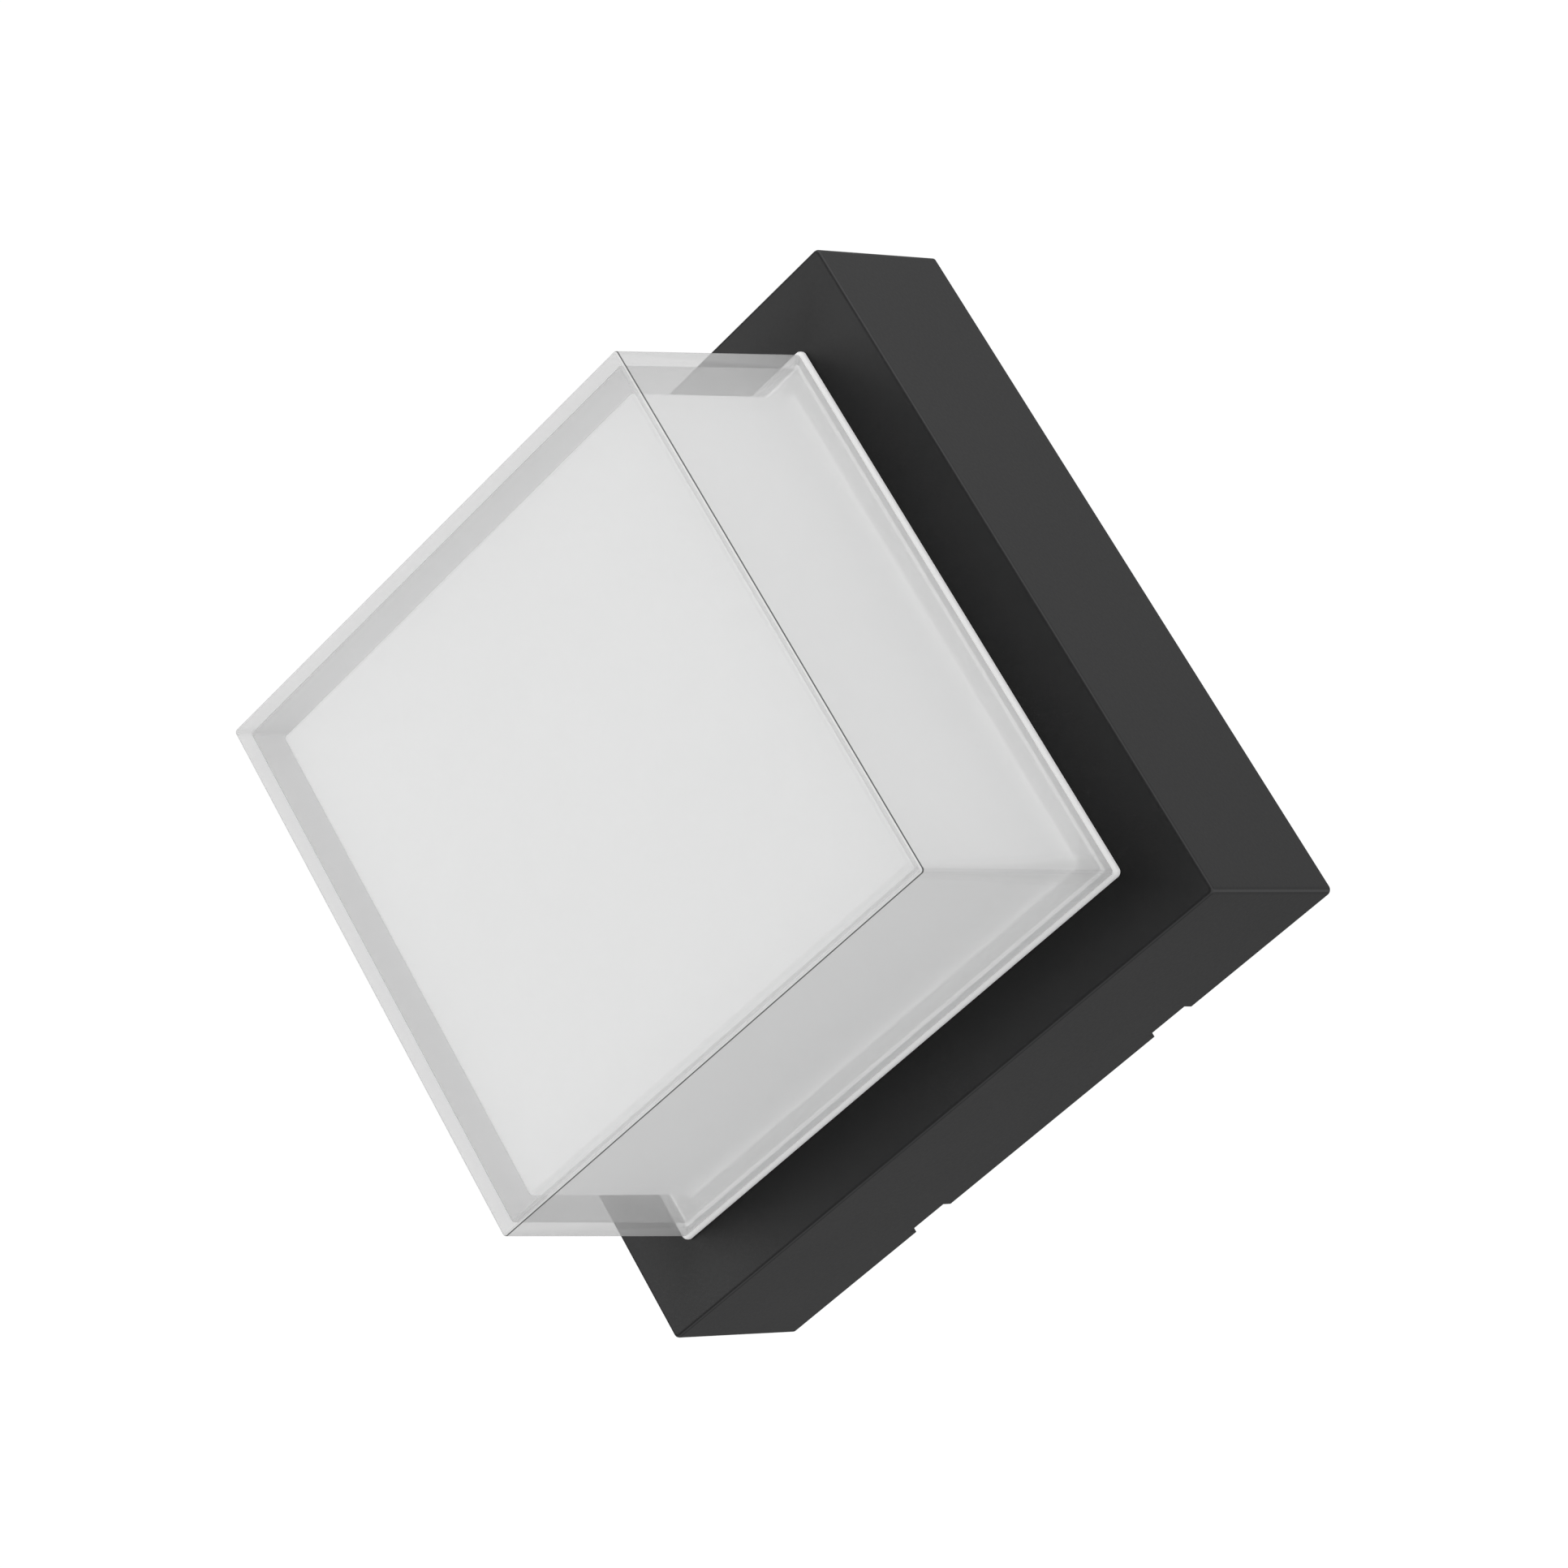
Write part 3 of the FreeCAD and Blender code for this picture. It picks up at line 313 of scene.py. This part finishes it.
def edges_of(tree):
    """The masks of the moulded edges, placed in a material."""
    node = tree.nodes.new("ShaderNodeGroup")
    node.node_tree = edges
    return node.outputs


powder_coat = grained("satin_black_powder_coat", (0.017, 0.017, 0.0175), (0.021, 0.021, 0.0215),
                      0.52, 0.10, 1400.0, 35.0, 0.10, 0.0002)
COAT_SHINE = 0.30
powder_coat.node_tree.nodes["Principled BSDF"].inputs["Specular IOR Level"].default_value = COAT_SHINE
# The powder is painted darker in the corner round the cover's foot, as painted shade,
# and its rounded edges get a painted highlight along their crest.
FOOT_SHADE_FADE = (0.0770, 0.0615)
FOOT_SHADE_COLOUR = (0.0045, 0.0045, 0.0047)
EDGE_HIGHLIGHT = (0.050, 0.050, 0.051)
coat_edges = edges_of(powder_coat.node_tree)
# Painted shade: darker colour round the cover's foot.
overlay(powder_coat, ramp(powder_coat.node_tree, coat_edges["Reach"], *FOOT_SHADE_FADE), FOOT_SHADE_COLOUR)
# Painted highlight: paler colour along the crest of the rounded edges.
overlay(powder_coat, coat_edges["Crest"], EDGE_HIGHLIGHT)
dress(powder_coat, "base_housing")


# ---- Clear cover -----------------------------------------------------------------------------
# The outer box: one clear acrylic moulding with walls of 2 mm, a little milky, that stands on the
# opal box's rim. Its rounded brim has a painted highlight, a painted dark line runs along the sides'
# front edge, and the rounded corners between the sides are painted a darker grey as shade; these stand
# in for light bent at the edges.
SIDE_VEIL = 0.40                  # how much of what is behind it one surface of a side veils
THICK_VEIL = 0.48                 # beside a corner, where two walls meet and the acrylic is solid
FRONT_VEIL = 0.30                 # the polished front
BRIM_VEIL = 0.80                  # its rounded brim, inside and outside
LINE_VEIL = 0.92                  # the dark line
# Painted colours on the rounded edges: painted shade on the corners, a painted highlight on the brim,
# and a painted dark line.
CORNER_PAINTED_SHADE = (0.54, 0.54, 0.54)
BRIM_PAINTED_HIGHLIGHT = (0.98, 0.98, 0.98)
PAINTED_DARK_LINE = (0.03, 0.03, 0.03)
OUTER_BRIM = (-0.0976, -0.0980)   # the outer brim lies in front of these
LINE_START = (0.10, 0.18)         # how far the brim leans to the front where the dark line starts
LINE_END = (0.66, 0.56)           # and where it ends
STRAIGHT_SIDE = (0.16, 0.08)      # a side leans less than these
THICK_FROM = (0.0585, 0.0600)

clear_acrylic = grained("clear_acrylic", (0.60, 0.60, 0.60), (0.64, 0.64, 0.64),
                        0.30, 0.005, 500.0, 18.0, 0.0, 0.0002, IOR=1.49)
clear_tree = clear_acrylic.node_tree
clear_edges = edges_of(clear_tree)
clear_lean = clear_edges["Lean"]
clear_stretch = maths(clear_tree, "MULTIPLY", ramp(clear_tree, clear_lean, *LINE_START),
                      ramp(clear_tree, clear_lean, *LINE_END))
clear_outer = ramp(clear_tree, axes_of(clear_tree, "Object")["Y"], *OUTER_BRIM)
clear_painted_line = maths(clear_tree, "MULTIPLY", clear_outer, clear_stretch)
clear_thick = maths(clear_tree, "MULTIPLY", ramp(clear_tree, clear_edges["Nook"], *THICK_FROM),
                    ramp(clear_tree, clear_lean, *STRAIGHT_SIDE))
# Painted shade on the corners, a painted highlight on the brim and a painted dark line along the sides'
# front edge.
overlay(clear_acrylic, clear_edges["Corner"], CORNER_PAINTED_SHADE)
overlay(clear_acrylic, clear_edges["Brim"], BRIM_PAINTED_HIGHLIGHT)
overlay(clear_acrylic, clear_painted_line, PAINTED_DARK_LINE)
clear_veil = SIDE_VEIL
for mask, veil in ((clear_thick, THICK_VEIL), (clear_edges["Front"], FRONT_VEIL),
                   (clear_edges["Brim"], BRIM_VEIL), (clear_painted_line, LINE_VEIL)):
    step = maths(clear_tree, "MULTIPLY", mask, maths(clear_tree, "SUBTRACT", veil, clear_veil))
    clear_veil = maths(clear_tree, "ADD", clear_veil, step)
clear_tree.links.new(clear_veil, clear_tree.nodes["Principled BSDF"].inputs["Alpha"])
dress(clear_acrylic, "clear_cover")


# ---- Opal diffuser ---------------------------------------------------------------------------
# The inner box: white opal acrylic that hides the light source, screwed on from behind. Its flange
# ends in a rounded rim. The moulding has a painted glow, light of its own that no lit lamp gives it.
OPAL_PAINTED_GLOW = 0.42
PAINTED_GLOW_COLOUR = (0.995, 1.0, 1.01)
# The painted glow is weaker on the flange, the channel beside the rim and the rim: the distances where
# each starts, and the share of the glow that each has.
PAINTED_GLOW_SHARES = (((0.0574, 0.0580), 0.72), ((0.0609, 0.0611), 0.80), ((0.0617, 0.0619), 0.48))

opal_acrylic = grained("opal_acrylic", (0.90, 0.90, 0.89), (0.93, 0.93, 0.925),
                       0.42, 0.08, 900.0, 22.0, 0.05, 0.0002, IOR=1.49, Emission_Strength=OPAL_PAINTED_GLOW)
opal_tree = opal_acrylic.node_tree
opal_reach = edges_of(opal_tree)["Reach"]
opal_loss, share_before = 0.0, 1.0
for start, share in PAINTED_GLOW_SHARES:
    step = maths(opal_tree, "MULTIPLY", ramp(opal_tree, opal_reach, *start), share_before - share)
    opal_loss = maths(opal_tree, "ADD", opal_loss, step)
    share_before = share
# Painted glow as the emission colour, fading to none where the painted glow shares end.
opal_tree.links.new(mixed(opal_tree, opal_loss, PAINTED_GLOW_COLOUR, (0.0, 0.0, 0.0)),
                    opal_tree.nodes["Principled BSDF"].inputs["Emission Color"])
dress(opal_acrylic, "opal_diffuser")


# ---- Gasket ----------------------------------------------------------------------------------
# The seal against rain: a square ring of grey silicone, laid in the housing's groove and pressed by
# the opal box's flange.
silicone = grained("grey_silicone", (0.22, 0.22, 0.22), (0.28, 0.28, 0.285),
                   0.62, 0.10, 1800.0, 90.0, 0.20, 0.0001)
dress(silicone, "diffuser_gasket")


# ---- Light source ----------------------------------------------------------------------------
# White-masked aluminium board on a soft heat pad, with moulded LED packages and their yellow gel,
# soldered on and held by four screws. The reflector over it is a white sheet with a window for each
# LED and a sloped rim.
board_mask = grained("white_solder_mask", (0.80, 0.82, 0.80), (0.86, 0.87, 0.86),
                     0.35, 0.10, 2200.0, 60.0, 0.10, 0.0001)
dress(board_mask, "led_board")
heat_pad = grained("heat_pad", (0.30, 0.36, 0.42), (0.36, 0.42, 0.47),
                   0.80, 0.10, 3000.0, 120.0, 0.4, 0.0001)
dress(heat_pad, "thermal_pad")
package_white = grained("led_package_white", (0.84, 0.83, 0.78), (0.88, 0.87, 0.84),
                        0.40, 0.10, 4000.0, 300.0, 0.1, 0.00005)
dress(package_white, "led_packages")
phosphor = grained("yellow_phosphor", (0.80, 0.58, 0.08), (0.88, 0.70, 0.16),
                   0.30, 0.10, 9000.0, 900.0, 0.3, 0.00005)
dress(phosphor, "led_phosphors")
reflector_white = grained("reflector_white", (0.88, 0.88, 0.87), (0.92, 0.92, 0.91),
                          0.55, 0.10, 1500.0, 30.0, 0.08, 0.0001)
dress(reflector_white, "reflector_tray")
solder = grained("bright_solder", (0.62, 0.62, 0.61), (0.74, 0.74, 0.72),
                 0.22, 0.15, 3500.0, 600.0, 0.3, 0.0001, 1.0)
dress(solder, "solder_joints")


# ---- Screws ----------------------------------------------------------------------------------
# Zinc-plated steel screws, turned and rolled. The grub screws in the terminals have slots, and all the
# others have cross recesses.
zinc_plate = grained("zinc_plated_steel", (0.50, 0.51, 0.52), (0.66, 0.66, 0.64),
                     0.34, 0.20, 2600.0, 250.0, 0.15, 0.0001, 1.0)
dress(zinc_plate, "diffuser_screws", "board_screws", "driver_screws", "terminal_screws",
      "terminal_fixings", "clamp_screws")


# ---- Driver ----------------------------------------------------------------------------------
# The converter's white plastic case and its lid, moulded with a fine spark-eroded grain. Two screws
# hold it to the housing.
driver_plastic = grained("driver_plastic", (0.72, 0.72, 0.70), (0.78, 0.78, 0.76),
                         0.55, 0.12, 2600.0, 45.0, 0.35, 0.0001)
dress(driver_plastic, "driver_case", "driver_lid")


# ---- Leads -----------------------------------------------------------------------------------
# PVC-insulated copper leads, extruded each in its own colour and bent to their routes, and the
# moulded rubber grommets that the leads and the supply cable pass through.
def insulation(name, colour, second, *which):
    """An insulation in a colour and its second, a little darker, on the named leads."""
    made = grained(name, colour, second, 0.36, 0.10, 2500.0, 150.0, 0.12, 0.0001)
    dress(made, *which)
    return made


insulation("red_insulation", (0.48, 0.02, 0.02), (0.384, 0.016, 0.016), "led_lead_positive")
insulation("black_insulation", (0.018, 0.018, 0.018), (0.0144, 0.0144, 0.0144), "led_lead_negative")
insulation("brown_insulation", (0.16, 0.065, 0.025), (0.128, 0.052, 0.020), "live_lead")
insulation("blue_insulation", (0.02, 0.08, 0.42), (0.016, 0.064, 0.336), "neutral_lead")
# The earth lead is yellow on the side that faces the plate and green on the side towards the wall.
EARTH_YELLOW = (0.72, 0.58, 0.03)
EARTH_TURN = (0.05, -0.05)   # the normal's part to the back where the green gives way
earth_insulation = insulation("earth_insulation", (0.10, 0.36, 0.04), (0.08, 0.29, 0.03), "earth_lead")
earth_tree = earth_insulation.node_tree
earth_front = ramp(earth_tree, axes_of(earth_tree, "Normal")["Y"], *EARTH_TURN)
overlay(earth_insulation, earth_front, EARTH_YELLOW)
black_rubber = grained("black_rubber", (0.020, 0.020, 0.020), (0.030, 0.030, 0.030),
                       0.66, 0.12, 2200.0, 140.0, 0.3, 0.0001)
dress(black_rubber, "lead_grommet", "cable_grommet")


# ---- Supply terminals ------------------------------------------------------------------------
# A natural polyamide terminal block with brass bars, a crimped ring tag on a brass earth screw,
# and a black polyamide saddle that holds the supply cable.
polyamide = grained("natural_polyamide", (0.70, 0.68, 0.60), (0.77, 0.75, 0.68),
                    0.48, 0.12, 1900.0, 70.0, 0.25, 0.0001)
dress(polyamide, "terminal_block")
brass = grained("plain_brass", (0.66, 0.46, 0.17), (0.78, 0.58, 0.26),
                0.30, 0.18, 2400.0, 220.0, 0.15, 0.0001, 1.0)
dress(brass, "terminal_inserts", "earth_screw")
tinned_copper = grained("tinned_copper", (0.60, 0.58, 0.54), (0.72, 0.70, 0.66),
                        0.32, 0.15, 2600.0, 300.0, 0.2, 0.0001, 1.0)
dress(tinned_copper, "earth_tag")
black_polyamide = grained("black_polyamide", (0.022, 0.022, 0.022), (0.030, 0.030, 0.030),
                          0.50, 0.12, 2200.0, 90.0, 0.3, 0.0001)
dress(black_polyamide, "cable_clamp")


# ---- Wall bracket ----------------------------------------------------------------------------
# Pressed from galvanised sheet, whose zinc shows flat crystals. The springs are stainless strip
# and the rivets plain aluminium.
SPANGLE_SCALE = 220.0        # crystals of about 4 mm
SPANGLE_JUMBLE = 0.9
SPANGLE_PALE = (0.70, 0.71, 0.72)
SPANGLE_DULLING = 0.22       # the dullest crystal's extra roughness
galvanised = grained("galvanised_sheet", (0.46, 0.48, 0.50), (0.62, 0.63, 0.64),
                     0.36, 0.12, 1200.0, 60.0, 0.10, 0.0001, 1.0)
zinc_tree = galvanised.node_tree
zinc_rough = zinc_tree.nodes["Principled BSDF"].inputs["Roughness"]
crystals = zinc_tree.nodes.new("ShaderNodeTexVoronoi")
crystals.inputs["Scale"].default_value = SPANGLE_SCALE
crystals.inputs["Randomness"].default_value = SPANGLE_JUMBLE
zinc_place = zinc_tree.nodes.new("ShaderNodeTexCoord").outputs["Object"]
zinc_tree.links.new(zinc_place, crystals.inputs["Vector"])
crystal = zinc_tree.nodes.new("ShaderNodeSeparateColor")
zinc_tree.links.new(crystals.outputs["Color"], crystal.inputs[0])
overlay(galvanised, crystal.outputs["Red"], SPANGLE_PALE)
zinc_shift = maths(zinc_tree, "MULTIPLY", crystal.outputs["Green"], SPANGLE_DULLING)
zinc_tree.links.new(maths(zinc_tree, "ADD", zinc_rough.links[0].from_socket, zinc_shift), zinc_rough)
dress(galvanised, "wall_bracket")
spring_steel = grained("spring_steel", (0.44, 0.45, 0.47), (0.54, 0.55, 0.56),
                       0.28, 0.15, 2600.0, 300.0, 0.1, 0.0001, 1.0)
dress(spring_steel, "clip_springs")
rivet_metal = grained("rivet_aluminium", (0.62, 0.62, 0.63), (0.74, 0.74, 0.75),
                      0.38, 0.15, 2400.0, 400.0, 0.2, 0.0001, 1.0)
dress(rivet_metal, "spring_rivets")
